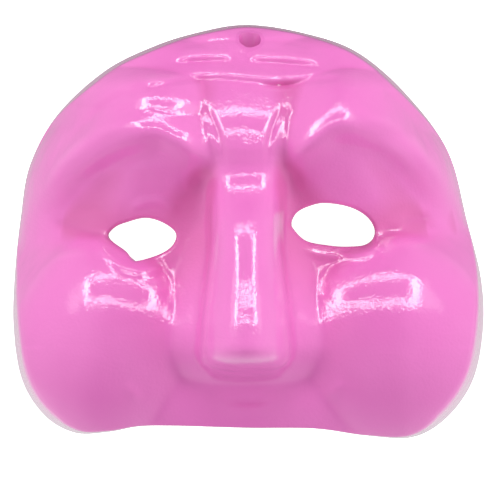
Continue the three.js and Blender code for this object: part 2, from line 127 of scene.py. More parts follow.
def beside_line(line, u, v):
    """Distance from a line, positive on its left, and the share of the line's length passed."""
    best = np.full(u.shape, np.inf)
    side = np.ones(u.shape)
    share = np.zeros(u.shape)
    for i, (a, b) in enumerate(zip(line, line[1:] - line[:-1])):
        du, dv = u - a[0], v - a[1]
        t = np.clip((du * b[0] + dv * b[1]) / (b @ b), 0, 1)
        apart = np.hypot(du - t * b[0], dv - t * b[1])
        nearer = apart < best
        best = np.where(nearer, apart, best)
        side = np.where(nearer, np.where(b[0] * dv - b[1] * du < 0, -1.0, 1.0), side)
        share = np.where(nearer, (i + t) / (len(line) - 1), share)
    return best * side, share


def faded(share, fade):
    """1 along a line, and softly down to 0 over a share of its length at each end."""
    return ease(share / fade) * ease((1 - share) / fade)


def along_line(points, fade, reach, profile, u, v):
    """Heights that depend on the distance from a line, within a reach."""
    low, high = np.min(points, axis=0) - reach, np.max(points, axis=0) + reach
    near = (u > low[0]) & (u < high[0]) & (v > low[1]) & (v < high[1])
    apart, share = beside_line(smooth_line(points), u[near], v[near])
    z = np.zeros(u.shape)
    z[near] = faded(share, fade) * profile(apart)
    return z


# %% The outline and the cut lower edge
VIEW_DISTANCE = 520.0  # mm from the camera to the back rim
MIDDLE = (0.0, -5.0)
OUTLINE = [
    (-0.7, 68.4), (18.2, 65.7), (36, 59.4), (52.5, 45.2), (66, 26.6), (72.3, 3.6), (76.9, -15.2),
    (77.6, -31.7), (74.4, -48.5), (66, -60.9), (54.5, -67.7), (39, -67.2), (22, -64.9), (0, -64.7),
    (-23.4, -64), (-36, -64.2), (-46, -66), (-57, -66.3), (-67, -60.7), (-74.6, -48.8),
    (-77.4, -31), (-76.9, -13), (-75, 5), (-72, 22), (-63, 38.6), (-47.5, 53), (-31.8, 61),
    (-17.2, 65.7),
]
LIP_ARCH_HEIGHT, LIP_ARCH_HALF_WIDTH = 48.0, 63.0
LIP_ARCH_SHAPE = 2.6  # 2 would be a parabola
LIP_ARCH_FROM, LIP_ARCH_REACH = -30.0, 28.0  # where the edge starts to rise, and how slowly

outline_ring = smooth_line(OUTLINE, closed=True) - MIDDLE
ring_angles = np.arctan2(outline_ring[:, 1], outline_ring[:, 0])
ring_order = np.argsort(ring_angles)
ring_angles = ring_angles[ring_order]
ring_radii = np.hypot(*outline_ring.T)[ring_order]


def outline_radius(angle):
    """How far the outline is from the middle, in one direction."""
    return np.interp(angle, ring_angles, ring_radii, period=2 * math.pi)


def rim_height(u, v):
    """The cut edge lies on the table, and rises in an arch under the lip."""
    arch = np.clip(1 - np.abs(u / LIP_ARCH_HALF_WIDTH) ** LIP_ARCH_SHAPE, 0, 1)
    return LIP_ARCH_HEIGHT * arch * ease((LIP_ARCH_FROM - v) / LIP_ARCH_REACH)


print(f"outline: {len(outline_ring)} points, {np.ptp(outline_ring[:, 0]):.1f} mm across")

# %% [markdown]
# ## The bowl and the sockets
# Under all features lies a plain shallow bowl, as a potter would lay a slab over a hump. Two broad
# hollows are pressed into it for the sockets, and two small ones beside the root of the nose. Soft
# hollows simply add up, so they need no joints.

# %% The bowl and the sockets
BOWL_HEIGHT = 52.0
BOWL_FULLNESS = (2.7, 2.2)
BOWL_TOP_FULLNESS = 0.5  # how much less full the bowl is towards the top
BROW_FLOOR_RISE, BROW_FLOOR_AT = 18.0, 34.0  # how much higher it is under the brows
BETWEEN_BROWS = 15.0  # half width of the gap between the two brows and sockets
SOCKETS = [  # the place, half widths across and along, rise, turn and edge
    ((-38.5, 2), 30, 24, -2.5, 9, 2), ((39, 4), 30, 24, -3.5, -7, 2),
    ((-14, 20), 5, 8, -3, -20), ((13, 19), 5, 8, -3, 20),
]


def beside_nose(u):
    return 1 - np.exp(-square(u / BETWEEN_BROWS))


def bowl(share, towards_top, rim, u, v):
    """The plain bowl under the features, higher where the brows stand on it."""
    height = BOWL_HEIGHT + BROW_FLOOR_RISE * beside_nose(u) * ease(v / BROW_FLOOR_AT)
    fullness = BOWL_FULLNESS[0] - BOWL_TOP_FULLNESS * towards_top
    return rim + (height - rim) * (1 - share**fullness) ** (1 / BOWL_FULLNESS[1])


print("hollows:", len(SOCKETS))

# %% [markdown]
# ## The brows
# Two arched brows hang over the sockets, and their thick inner ends stand out as knobs. Bevelled
# curves would give rolls that lie loose on the face. Here the height depends on the distance from a
# drawn line, and a dome with its own slopes rises behind it.

# %% The edge of the brows
BROW_EDGE = [
    (-69, 4), (-64, 12), (-54, 23), (-40, 30.7), (-29, 33.3), (-20, 28.6), (-12.5, 21.5), (-7, 19),
    (0, 19), (6, 19), (11, 21.5), (19, 28.6), (30, 34.8), (43, 31.5), (55, 22.5), (63, 12), (68, 4),
]
BROW_RISE, BROW_FADE = 4.2, 0.2
BROW_ABOVE, BROW_BELOW = 9.0, 4.5  # half widths of the roll, up the forehead and to the eye


def brow_roll(below, share):
    """A roll along a brow's edge, broad up the forehead and tight towards the eye."""
    width = np.where(below < 0, BROW_ABOVE, BROW_BELOW)
    return BROW_RISE * faded(share, BROW_FADE) * np.exp(-square(below / width))


print("brow edge:", len(smooth_line(BROW_EDGE)), "points")

# %% The thick inner ends of the brows
KNOBS = [
    dict(at=(-30.2, 25.8), top=64.9, inner=(11, 0.6), outer=(12, 0.9), along=(19, 1.5), bow=-0.1),
    dict(at=(-29.2, 40.2), top=60.0, inner=(12, 0.8), outer=(13, 0.8), along=(7.2, 1.0), bow=-0.05),
    dict(at=(29.6, 31), top=64.6, inner=(8.5, 0.8), outer=(7, 1.2), along=(15, 1.1), bow=0.12),
]
KNOB_BOW_REACH = 6.0  # the crest of a knob runs askew over this half width
KNOB_REACH, KNOB_FOOT = 24.0, 6.0  # how far out it falls this much more than its slope
KNOB_END, KNOB_END_ROUND = 47.0, 4.0  # above this the knobs sink into the dome
KNOB_JOINT = 0.5  # mm, how softly a knob runs into the dome


def rounded_slope(distance, radius, slope):
    """How far a round top has fallen at a distance, where it ends in a straight slope."""
    return radius * slope**2 * (np.hypot(1, distance / (radius * slope)) - 1)


def knob(at, top, inner, outer, along, bow, u, v):
    """The thick inner part of a brow."""
    aside = u - at[0]
    outwards = aside * math.copysign(1, at[0])
    across = np.where(outwards > 0, rounded_slope(aside, *outer), rounded_slope(aside, *inner))
    crest = at[1] + bow * np.clip(aside, -KNOB_BOW_REACH, KNOB_BOW_REACH)
    z = top - across - rounded_slope(v - crest, *along)
    z = z - KNOB_FOOT * (np.clip(outwards, 0, None) / KNOB_REACH) ** 4
    return z - square(np.clip(v - KNOB_END, 0, None)) / (2 * KNOB_END_ROUND)


print("knobs:", len(KNOBS))

# %% The dome of the forehead
FOREHEAD_TOP = (53.8, 39.5)
DOME_SLOPE, DOME_ROUND = 0.68, 1.2  # and how softly it begins, in mm
DOME_HALF_WIDTH, DOME_SIDE_DROP = 58.0, 27.0
CROWN_AT, CROWN_ROUND = 59.8, 2.2  # from here on the dome bends down to the crown
UNDERSIDE_SLOPE, UNDERSIDE_ROUND = 1.3, 2.2
SHOULDERS = [((-31, 53), 15, 13, 3), ((32, 52), 15, 13, 3)]


def forehead_dome(u, v, below):
    """A low dome over the brows, cut off under their edge."""
    top, at = FOREHEAD_TOP
    z = top - DOME_SLOPE * (np.hypot(v - at, DOME_ROUND) - DOME_ROUND)
    z = z - DOME_SIDE_DROP * (np.abs(u) / DOME_HALF_WIDTH) ** 4
    z = z - square(np.clip(v - CROWN_AT, 0, None)) / (2 * CROWN_ROUND)
    for row in SHOULDERS:
        z = z + swell(u, v, *row)
    for sizes in KNOBS:
        z = union(z, knob(**sizes, u=u, v=v), KNOB_JOINT)
    return z - UNDERSIDE_SLOPE * 0.5 * (below + np.hypot(below, UNDERSIDE_ROUND))


print("top of the dome:", FOREHEAD_TOP[0], "mm")

# %% [markdown]
# ## Wedge, creases and folds
# A wedge of flesh stands between the brows, with a crease on each side. Folds cross the forehead,
# each a narrow groove with a soft roll above it, as a finger leaves it in soft clay. Drawn lines
# carry them too, so each is moved by its points alone.

# %% The wedge and its creases
WEDGE = dict(at=(-2, 30.5), top=60.4, across=(27, 1.2), above=(14.5, 0.85), below=(10, 1.5))
CREASES = [  # the line, and the half width on its left and right
    ([(-13.8, 42.5), (-12.5, 39), (-10.8, 35), (-8.8, 29), (-8, 22), (-8, 15)], 0.9, 1.1),
    ([(11.4, 42.5), (10, 39), (8.4, 35), (6.8, 29), (6.5, 22), (6.5, 15)], 1.1, 0.9),
]
CREASE_DEPTH, CREASE_FADE, CREASE_REACH = 0.8, 0.35, 6.0


def wedge_between_brows(at, top, across, above, below, u, v):
    """The bulge between the brows, with its own roundness in each direction."""
    aside, up = u - at[0], v - at[1]
    along = np.where(up > 0, rounded_slope(up, *above), rounded_slope(up, *below))
    return top - rounded_slope(aside, *across) - along


def crease(points, left, right, u, v):
    """A valley beside a line, with its own half width on each side."""
    def profile(apart):
        return -CREASE_DEPTH * np.exp(-square(apart / np.where(apart > 0, left, right)))
    return along_line(points, CREASE_FADE, CREASE_REACH, profile, u, v)


print("creases:", len(CREASES))

# %% The folds
FOLDS = [  # the line, the heights of the roll and of the groove, and the fade
    ([(-36, 46.8), (-28, 48.8), (-19, 50.1), (-8, 50.3), (4, 49.2), (16, 49.2), (24, 50.2),
      (32, 51)], 1.3, 0.4, 0.12),
    ([(-27, 55.2), (-17, 56.2), (-10, 56.4), (-4, 56)], 1.5, 0.5, 0.3),
    ([(-1, 56), (4, 56), (12, 55.6), (20, 54.8), (28, 52.8)], 1.5, 0.5, 0.3),
    ([(-30, 59), (-20, 61.5), (-8, 63), (0, 63), (14, 62.5), (28, 59)], 0.3, 0.4, 0.35),
]
FOLD_ROLL = (2.6, 2.2)  # how far above the line a roll lies, and its half width
FOLD_GROOVE = 0.9  # half width of the groove
FOLD_REACH = 9.0


def fold(points, roll, groove, fade, u, v):
    """A soft roll over a narrow groove."""
    def profile(above):
        high = roll * np.exp(-square((above - FOLD_ROLL[0]) / FOLD_ROLL[1]))
        return high - groove * np.exp(-square(above / FOLD_GROOVE))
    return along_line(points, fade, FOLD_REACH, profile, u, v)


print("folds:", len(FOLDS))

# %% [markdown]
# ## Nose, cheeks and lip
# The nose is a long round ridge on two flat wings, and the cheeks are two balls. One stretched ball
# couldn't follow the ridge, so a curve of sizes along the face gives its height, width and
# roundness at every place, the way a modeller checks a profile with card templates.

# %% Nose, cheeks and lip
NOSE_AXIS = -0.8
RIDGE_CREST = [
    (-52, 30), (-48, 60), (-46, 70), (-44, 78.5), (-42, 84), (-40, 86.3), (-38, 86.9), (-35, 86.55),
    (-33, 86.15), (-31, 85.6), (-29, 84.9), (-27, 84.1), (-25, 83.3), (-23, 82.6), (-20, 81.6),
    (-15, 79.9), (-10, 77.9), (-5, 75.6), (0, 73), (4, 70.6), (6, 69.1), (14.5, 62.8), (18, 61.1),
    (21.5, 60.1), (25, 59.6), (29, 57.5), (34, 44), (44, 0),
]
RIDGE_HALF_WIDTH = [
    (-46, 12.5), (-40, 14.3), (-30, 13.8), (-15, 12.2), (0, 10.3), (12, 9.5), (34, 9.5),
]
RIDGE_CREST_RADIUS = [(-46, 10), (-30, 9.8), (4, 9.8), (14, 18), (20, 26), (34, 26)]
WING_HALF_WIDTH = [
    (-60, 26), (-50, 29), (-42, 31), (-33, 30.5), (-22, 27), (-7, 22), (6, 17.5), (20, 14),
]
WING_HEIGHT = [
    (-45, 62), (-33, 63), (-22, 61), (-7, 57), (6, 54.5), (20, 48), (30, 36), (42, 0),
]
WING_RISE, WING_FLATNESS = 20.0, 3  # with 2 a wing would be round
WING_END = (-36.0, 17.0, 2.4)  # where it starts to end, over what length, how suddenly
CHEEKS = [((-45, -36), 34, 34), ((46, -36), 38, 37)]  # place, half widths to the nose and out
CHEEK_FOOT, CHEEK_RISE, CHEEK_HALF_HEIGHT = 32.0, 30.0, 36.0
LIP_TOP = -38.0
LIP_CREST = (54.0, -53.0)  # height and place
LIP_FALL_ACROSS = (6.0, 40.0)  # how far it falls, over what distance
LIP_FALL_ALONG = (3.0, 12.0)
NOSE_TIP = -37.0


def nose_ridge(u, v):
    width = sized(RIDGE_HALF_WIDTH, v)
    rise = width * width / sized(RIDGE_CREST_RADIUS, v)
    return sized(RIDGE_CREST, v) - rise * (1 - cap(square((u - NOSE_AXIS) / width)))


def nose_wings(u, v):
    across = np.abs((u - NOSE_AXIS) / sized(WING_HALF_WIDTH, v)) ** WING_FLATNESS
    start, length, suddenness = WING_END
    end = (np.clip(start - v, 0, None) / length) ** suddenness
    return sized(WING_HEIGHT, v) - WING_RISE * (1 - cap(across + end))


def cheek(at, inner, outer, u, v):
    across = np.where(np.abs(u) < abs(at[0]), inner, outer)
    share = square((u - at[0]) / across) + square((v - at[1]) / CHEEK_HALF_HEIGHT)
    return CHEEK_FOOT + CHEEK_RISE * cap(share)


def lip(u, v):
    height, at = LIP_CREST
    across = LIP_FALL_ACROSS[0] * square(u / LIP_FALL_ACROSS[1])
    along = LIP_FALL_ALONG[0] * square((v - at) / LIP_FALL_ALONG[1])
    return np.where(v < LIP_TOP, height - across - along, 0)


print("nose ridge:", len(RIDGE_CREST), "heights along it")

# %% [markdown]
# ## Marks of fingers and tools
# The big forms come from the mould, but the small ones were drawn into the damp clay: the rims of
# the eyelids, the grooves at the temples, the border above each brow. Each is a stroke along a
# short line that fades at both ends, or a thumb's dent. A sculpting brush could do it, but numbers
# are easier to correct.

# %% Marks of fingers and tools
STROKES = [  # height, half width, fade, line
    # a slit in the lowest fold
    (-1.3, 0.8, 0.4, [(2, 48.7), (10, 48.2), (19, 48.9)]),
    # corners of the eyes to the temples
    (-1.0, 2.0, 0.3, [(-46.5, -1.2), (-53, 0.2), (-60.5, 2.5), (-66, 3)]),
    (0.7, 2.2, 0.4, [(-49, -6), (-58, -7.2), (-67, -8.8)]),
    (-0.8, 1.8, 0.3, [(42, 1.3), (52, -0.3), (63.5, -2.8)]),
    (0.6, 1.8, 0.4, [(45, -3.6), (52, -4.3), (61, -5)]),
    (-1.3, 2.0, 0.4, [(50, 3.4), (55.4, 4.1), (61, 4.4)]),
    # eyelids
    (0.5, 1.6, 0.3, [(-41, 5), (-36, 9.2), (-30, 10.2), (-25, 8), (-22, 4)]),
    (0.5, 2.2, 0.4, [(-42, 17.5), (-34, 21), (-26, 17.5)]),
    (1.0, 1.6, 0.25, [(-51.5, -2.6), (-46.8, -7.6), (-40.6, -11.6), (-33, -12.6), (-26, -9.5)]),
    (1.0, 1.6, 0.25, [(15, -3), (22, -6.8), (32, -7.9), (40, -7), (45, -3)]),
    # border above the brows
    (-0.8, 1.8, 0.2, [(-20.8, 46), (-30.7, 47.7), (-36.6, 47.2), (-47.2, 41.9), (-55.4, 33.7),
                      (-63, 25.4), (-67, 18.8), (-69, 12.2)]),
    (-0.7, 1.8, 0.3, [(44, 46), (46.9, 45.2), (53.5, 38.6), (60, 27), (64, 18)]),
    # the outer brows
    (1.8, 3.6, 0.3, [(-30, 37), (-44, 35), (-56, 28.5), (-65, 19.5), (-69.5, 10)]),
    (1.8, 3.6, 0.3, [(30, 40), (44, 37), (56, 29), (64, 19.5), (68, 9)]),
    # beside the mouth and on the lip
    (0.5, 2.0, 0.4, [(-42, -49), (-38.5, -53), (-35, -57)]),
    (0.5, 2.0, 0.4, [(33, -49), (29, -52), (24.5, -56)]),
    (-0.8, 1.3, 0.4, [(-9, -55.4), (0, -56.2), (8.5, -55.4)]),
]
STROKE_REACH = 3  # half widths
DENTS = [  # the place, half widths across and along, rise, turn and edge
    # a lip over the hanging hole and the clay pressed flat beyond it
    ((0.6, 61.3), 7, 1.9, 0.5), ((0.6, 67.3), 7, 2.2, -3.0),
    # the outer ends of the sockets
    ((-52, 14), 8, 16, -2.6, -40, 1.4), ((51, 15.5), 8, 16, -2.6, 40, 1.4),
]


def stroke(height, width, fade, points, u, v):
    """A ridge along a line, or a groove where the height is negative."""
    def profile(apart):
        return height * np.exp(-square(apart / width))
    return along_line(points, fade, STROKE_REACH * width, profile, u, v)


print("marks:", len(STROKES), "strokes and", len(DENTS), "dents")

# %% All the forms together
WALL_RISE, WALL_TURN = 88.0, 14  # and how suddenly the wall turns down at the outline
WALL_JOINT = 3.0  # mm, how softly two forms run into each other
DOME_JOINT, WEDGE_JOINT, LIP_JOINT, NOSE_JOINT = 3.0, 1.0, 3.5, 3.5
CHEEK_JOINT, TEMPLE_JOINT = 2.0, 7.0  # beside the nose, and out towards the temple
TEMPLE_FROM, TEMPLE_REACH = 40.0, 14.0  # mm to the side, and over what length


def face_height(u, v, with_folds=True):
    """Height of the glazed face over the table."""
    du, dv = u - MIDDLE[0], v - MIDDLE[1]
    angle = np.arctan2(dv, du)
    share = np.clip(np.hypot(du, dv) / outline_radius(angle), 0, 1)
    rim = rim_height(u, v) * square(share)
    z = bowl(share, square(np.clip(np.sin(angle), 0, 1)), rim, u, v)
    below, along = beside_line(smooth_line(BROW_EDGE), u, v)
    below = -below
    for row in SOCKETS:
        z = z + swell(u, v, *row)
    z = z + brow_roll(below, along) * beside_nose(u)
    z = union(z, forehead_dome(u, v, below), DOME_JOINT)
    z = union(z, wedge_between_brows(**WEDGE, u=u, v=v), WEDGE_JOINT)
    for row in CREASES:
        z = z + crease(*row, u, v)
    for row in FOLDS if with_folds else []:
        z = z + fold(*row, u, v)
    z = union(z, lip(u, v), LIP_JOINT)
    at_temple = ease((np.abs(u) - TEMPLE_FROM) / TEMPLE_REACH)
    cheek_joint = CHEEK_JOINT + (TEMPLE_JOINT - CHEEK_JOINT) * at_temple
    for row in CHEEKS:
        z = union(z, cheek(*row, u, v), cheek_joint)
    z = union(z, nose_wings(u, v), NOSE_JOINT)
    z = union(z, nose_ridge(u, v), NOSE_JOINT)
    for row in STROKES if with_folds else []:
        z = z + stroke(*row, u, v)
    for row in DENTS if with_folds else []:
        z = z + swell(u, v, *row)
    wall = rim + WALL_RISE * np.sqrt(np.clip(1 - share**WALL_TURN, 0, 1))
    z = overlap(z, wall, WALL_JOINT)
    return np.where(share < 1, np.maximum(z, rim), rim)


tip_height = face_height(np.array([NOSE_AXIS]), np.array([NOSE_TIP]))[0]
print(f"height at the tip of the nose: {tip_height:.1f} mm")

# %% [markdown]
# ## From the flat drawing to the real place
# The drawing is laid out as the camera sees it. A point that stands high is nearer the camera and
# looks larger, so it is drawn in towards the camera's line by its share of the distance.

# %% From the flat drawing to the real place
def to_space(u, v, z):
    """Millimetres on the drawing to metres in the room, before the mask is centred."""
    scale = 1 - z / VIEW_DISTANCE
    x = MIDDLE[0] + (u - MIDDLE[0]) * scale
    y = MIDDLE[1] + (v - MIDDLE[1]) * scale
    return np.stack([x, y, z], axis=-1) * 0.001


print("tip of the nose in the room, m:", to_space(NOSE_AXIS, NOSE_TIP, tip_height).round(4))

# %% [markdown]
# ## The inside
# Inside, the mask follows the face one wall thickness below it. A solidify modifier would fold over
# itself under the creases. So the height of the inside is found the way a potter would feel it with
# callipers: at each place it is the lowest that a ball of the wall's size allows when its middle
# rolls over the face.

# %% The inside surface
WALL = 4.8
RASTER = 0.75  # mm between the places where the inside is felt
RASTER_ENDS = (84, 78)  # mm from the drawing's origin
SMOOTHING_PASSES = 12
raster_u, raster_v = (np.arange(-end, end + 0.1, RASTER) for end in RASTER_ENDS)


def inside_heights():
    grid_u, grid_v = np.meshgrid(raster_u, raster_v)
    face = face_height(grid_u, grid_v, with_folds=False)
    reach = int(WALL / RASTER)
    padded = np.pad(face, reach, mode="edge")
    low = np.full(face.shape, np.inf)
    rows, columns = face.shape
    for j in range(-reach, reach + 1):
        for i in range(-reach, reach + 1):
            left = WALL**2 - (i * i + j * j) * RASTER**2
            if left >= 0:
                near = padded[reach + j:reach + j + rows, reach + i:reach + i + columns]
                low = np.minimum(low, near - math.sqrt(left))
    for _ in range(SMOOTHING_PASSES):
        padded = np.pad(low, 1, mode="edge")
        mean = (padded[2:, 1:-1] + padded[:-2, 1:-1] + padded[1:-1, 2:] + padded[1:-1, :-2]) / 4
        low = np.minimum(low, mean)
    return low


inside = inside_heights()


def inside_height(u, v):
    x = np.clip((u - raster_u[0]) / RASTER, 0, len(raster_u) - 1.001)
    y = np.clip((v - raster_v[0]) / RASTER, 0, len(raster_v) - 1.001)
    i, j = x.astype(int), y.astype(int)
    a, b = x - i, y - j
    z = ((1 - b) * ((1 - a) * inside[j, i] + a * inside[j, i + 1])
         + b * ((1 - a) * inside[j + 1, i] + a * inside[j + 1, i + 1]))
    return np.maximum(z, rim_height(u, v))


print(f"deepest place inside: {inside.max():.1f} mm above the table")

# %% [markdown]
# ## A square net on a round outline
# A grid is the simplest sheet, but its corners don't fit a round mask. So it is first pressed into
# a disc, which keeps its squares nearly square, and then stretched to the outline. The rows lie
# closer together over the folds and the tip of the nose.

# %% A square net on a round outline
CLOSER_ROWS = [(0.78, 0.14, 0.9), (-0.6, 0.12, 0.5)]  # where, over what length, how much closer
CLOSER_TO_EDGE = 0.75  # the same for the squares near the outline


def closer_rows(b):
    fine = np.linspace(-1, 1, 801)
    wish = 1 + sum(more * np.exp(-square((fine - at) / reach)) for at, reach, more in CLOSER_ROWS)
    places = np.concatenate([[0], np.cumsum(0.5 * (wish[1:] + wish[:-1]))])
    return np.interp((b + 1) / 2 * places[-1], places, fine)


def square_to_disc(a, b):
    """Direction from the middle and share of the way to the outline, for a place in the square."""
    x = a * np.sqrt(1 - b * b / 2)
    y = b * np.sqrt(1 - a * a / 2)
    ring = np.hypot(x, y)
    return np.arctan2(y, x), ring + CLOSER_TO_EDGE * ring**3 * (1 - ring)


def along_outline(angle, share, inset):
    step = 0.01
    radius = outline_radius(angle)
    lean = (outline_radius(angle + step) - outline_radius(angle - step)) / (2 * step * radius)
    radius = radius - inset * np.hypot(1, lean)
    return MIDDLE[0] + share * radius * np.cos(angle), MIDDLE[1] + share * radius * np.sin(angle)


print("rows, from the lip up:", closer_rows(np.linspace(-1, 1, 6)).round(2))

# %% Holes in the net
EYES = [
    [(-46.2, -1.4), (-43.8, 1.6), (-40.2, 3.1), (-34, 4.6), (-28.2, 3.1), (-23.9, -0.3),
     (-24.8, -4.2), (-28.5, -7), (-34.5, -9.1), (-37.8, -9.4), (-40.2, -6.4), (-44, -3.7)],
    [(14.4, 3.1), (16.1, 6.3), (20, 8.4), (25.5, 9.5), (33.8, 8.1), (39.5, 4.7), (41.8, 0),
     (39.5, -3.9), (33, -4.8), (26.5, -4.4), (19.2, -2.9), (15.2, 0.8)],
]
FINE_COUNT = 300  # points on a hole's line while the squares inside it are found
RELAXING_PASSES = 80
RELAXING_REACH = 9.0  # mm round a hole where the net gives way


def evenly_divided(points, count):
    """Evenly spaced points along a closed line, anticlockwise, and the way out at each."""
    line = smooth_line(points, closed=True)
    x, y = line.T
    if np.sum(x * np.roll(y, -1) - y * np.roll(x, -1)) < 0:
        line = line[::-1]
    loop = np.concatenate([line, line[:1]])
    passed = np.concatenate([[0], np.cumsum(np.linalg.norm(np.diff(loop, axis=0), axis=1))])
    at = np.linspace(0, passed[-1], count, endpoint=False)
    even = np.stack([np.interp(at, passed, loop[:, 0]), np.interp(at, passed, loop[:, 1])], axis=1)
    ahead = np.roll(even, -1, axis=0) - np.roll(even, 1, axis=0)
    out = np.stack([ahead[:, 1], -ahead[:, 0]], axis=1)
    return even, out / np.linalg.norm(out, axis=1, keepdims=True)


def inside_line(line, u, v):
    """True where a place lies inside a closed line."""
    crossed = np.zeros(u.shape, int)
    for (x0, y0), (x1, y1) in zip(line, np.roll(line, -1, axis=0)):
        if y0 != y1:
            between = (v > min(y0, y1)) & (v <= max(y0, y1))
            crossed += between & (u < x0 + (v - y0) * (x1 - x0) / (y1 - y0))
    return crossed % 2 == 1


def corners_round(gone):
    """The corners round the removed squares, in order and anticlockwise."""
    follow = {}
    for j, i in zip(*np.nonzero(gone)):
        for dj, di, start, end in (
            (-1, 0, (j, i), (j, i + 1)), (0, 1, (j, i + 1), (j + 1, i + 1)),
            (1, 0, (j + 1, i + 1), (j + 1, i)), (0, -1, (j + 1, i), (j, i)),
        ):
            if not gone[j + dj, i + di]:
                follow[start] = end
    ring = [next(iter(follow))]
    while len(ring) < len(follow):
        ring.append(follow[ring[-1]])
    return tuple(np.array(ring).T)


def open_hole(u, v, points, offset):
    """Fits the net to a hole. Returns the squares to remove and the hole's line and ways out."""
    even, out = evenly_divided(points, FINE_COUNT)
    line = even + offset * out
    gone = inside_line(line, (u[1:, 1:] + u[:-1, :-1]) / 2, (v[1:, 1:] + v[:-1, :-1]) / 2)
    ring = corners_round(gone)
    even, out = evenly_divided(points, len(ring[0]))
    now = np.stack([u[ring], v[ring]], axis=1)
    shifts = [np.sum(square(np.roll(even, k, axis=0) - now)) for k in range(len(now))]
    best = int(np.argmin(shifts))
    even, out = np.roll(even, best, axis=0), np.roll(out, best, axis=0)
    u[ring], v[ring] = (even + offset * out).T
    held = np.zeros(u.shape, bool)
    held[ring] = True
    dropped = np.zeros(u.shape, bool)
    for dj, di in ((0, 0), (0, 1), (1, 0), (1, 1)):
        dropped[dj:len(u) - 1 + dj, di:len(u) - 1 + di] |= gone
    dropped &= ~held
    middle = line.mean(axis=0)
    reach = np.linalg.norm(line - middle, axis=1).max() + RELAXING_REACH
    free = (np.hypot(u - middle[0], v - middle[1]) < reach) & ~held & ~dropped
    weight = (~dropped).astype(float)
    for _ in range(RELAXING_PASSES):
        for net in (u, v):
            total = sum(np.roll(weight * net, s, k) for k in (0, 1) for s in (1, -1))
            count = sum(np.roll(weight, s, k) for k in (0, 1) for s in (1, -1))
            net[free] += 0.5 * (total[free] / count[free] - net[free])
    return gone, ring, even, out


print("eye holes:", len(EYES))

# %% [markdown]
# ## Laying the sheets
# Each sheet starts as a grid primitive. Its points are laid on the outline and raised to the height
# of the face or of the inside, and the squares over the eye holes are deleted in edit mode.

# %% Selecting in code
def only(piece):
    bpy.ops.object.select_all(action="DESELECT")
    piece.select_set(True)
    bpy.context.view_layer.objects.active = piece


def pick(piece, kind, chosen):
    """Selects exactly these vertices, edges or faces, ready for an edit-mode operator."""
    only(piece)
    mesh = piece.data
    for elements in (mesh.vertices, mesh.edges, mesh.polygons):
        elements.foreach_set("select", np.zeros(len(elements), bool))
    flags = np.zeros(len(getattr(mesh, kind)), bool)
    flags[chosen] = True
    getattr(mesh, kind).foreach_set("select", flags)
    modes = tuple(kind == name for name in ("vertices", "edges", "polygons"))
    bpy.context.tool_settings.mesh_select_mode = modes
    bpy.ops.object.mode_set(mode="EDIT")


def done():
    bpy.ops.object.mode_set(mode="OBJECT")


def read(elements, name, width=1, kind=np.int32):
    values = np.empty(len(elements) * width, kind)
    elements.foreach_get(name, values)
    return values.reshape(-1, width) if width > 1 else values


def places_of(piece):
    return read(piece.data.vertices, "co", 3, np.float32)


def set_places(piece, places):
    piece.data.vertices.foreach_set("co", np.asarray(places, np.float32).ravel())
    piece.data.update()


# %% Laying a sheet
FACE_DIVISIONS, INSIDE_DIVISIONS = 264, 135
RIM_ROUND = 1.1  # mm, how round the glazed rim is
EYE_ROUND = 1.3  # mm, how round the glaze runs into an eye hole
INNER_ROUND = 0.8  # mm, how round the inner edge of an eye hole is


def net_edge(side):
    """The corners round the whole net, anticlockwise."""
    up, last = np.arange(side - 1), side - 1
    rows = np.concatenate([0 * up, up, 0 * up + last, last - up])
    columns = np.concatenate([up, 0 * up + last, last - up, 0 * up])
    return rows, columns


def lay_sheet(name, divisions, inset, height, offset):
    """A grid laid on the outline, with its eye holes open, and what is known of its edges."""
    bpy.ops.mesh.primitive_grid_add(x_subdivisions=divisions, y_subdivisions=divisions, size=2)
    piece = bpy.context.object
    piece.name = name
    flat = places_of(piece).astype(float)
    side = divisions + 1
    order = np.lexsort(flat.T[:2].round(5))
    a = flat[order, 0].reshape(side, side)
    b = closer_rows(flat[order, 1].reshape(side, side))
    angle, share = square_to_disc(a, b)
    u, v = along_outline(angle, share, inset)
    holes = [open_hole(u, v, points, offset) for points in EYES]
    z = height(u, v)
    edge = net_edge(side)
    z[edge] = rim_height(u[edge], v[edge]) + RIM_ROUND
    placed = to_space(u, v, z).astype(np.float32)
    places = np.empty((side * side, 3), np.float32)
    places[order] = placed.reshape(-1, 3)
    set_places(piece, places)
    corner = np.empty(side * side, int)
    corner[order] = np.arange(side * side)
    lowest = corner[read(piece.data.loops, "vertex_index").reshape(-1, 4)].min(axis=1)
    gone = holes[0][0] | holes[1][0]
    pick(piece, "polygons", gone[lowest // side, lowest % side])
    bpy.ops.mesh.delete(type="FACE")
    done()
    rings = [(placed[ring], even, out) for _, ring, even, out in holes]
    corners = [len(ring) for ring, _, _ in rings]
    print(name, len(piece.data.polygons), "squares, holes with", corners, "corners")
    return piece, (placed[edge], angle[edge]), rings


face_sheet, face_rim, face_eyes = lay_sheet("face_sheet", FACE_DIVISIONS, 0, face_height, EYE_ROUND)
inside_sheet, inside_rim, inside_eyes = lay_sheet(
    "inside_sheet", INSIDE_DIVISIONS, WALL, inside_height, INNER_ROUND)

# %% [markdown]
# ## The rim and the edges of the eye holes
# Fired glaze leaves a round lip about a millimetre across at each edge. The open edge of the face
# sheet is extruded ring by ring, first on a quarter circle, then across the flat of the rim, then
# round again to the inside. The eye holes get the same. A bevel on the finished corner would be
# uneven where the two sheets meet at a slant.

# %% The rim and the edges of the eye holes
def faces_at_edges(mesh):
    return np.bincount(read(mesh.loops, "edge_index"), minlength=len(mesh.edges))


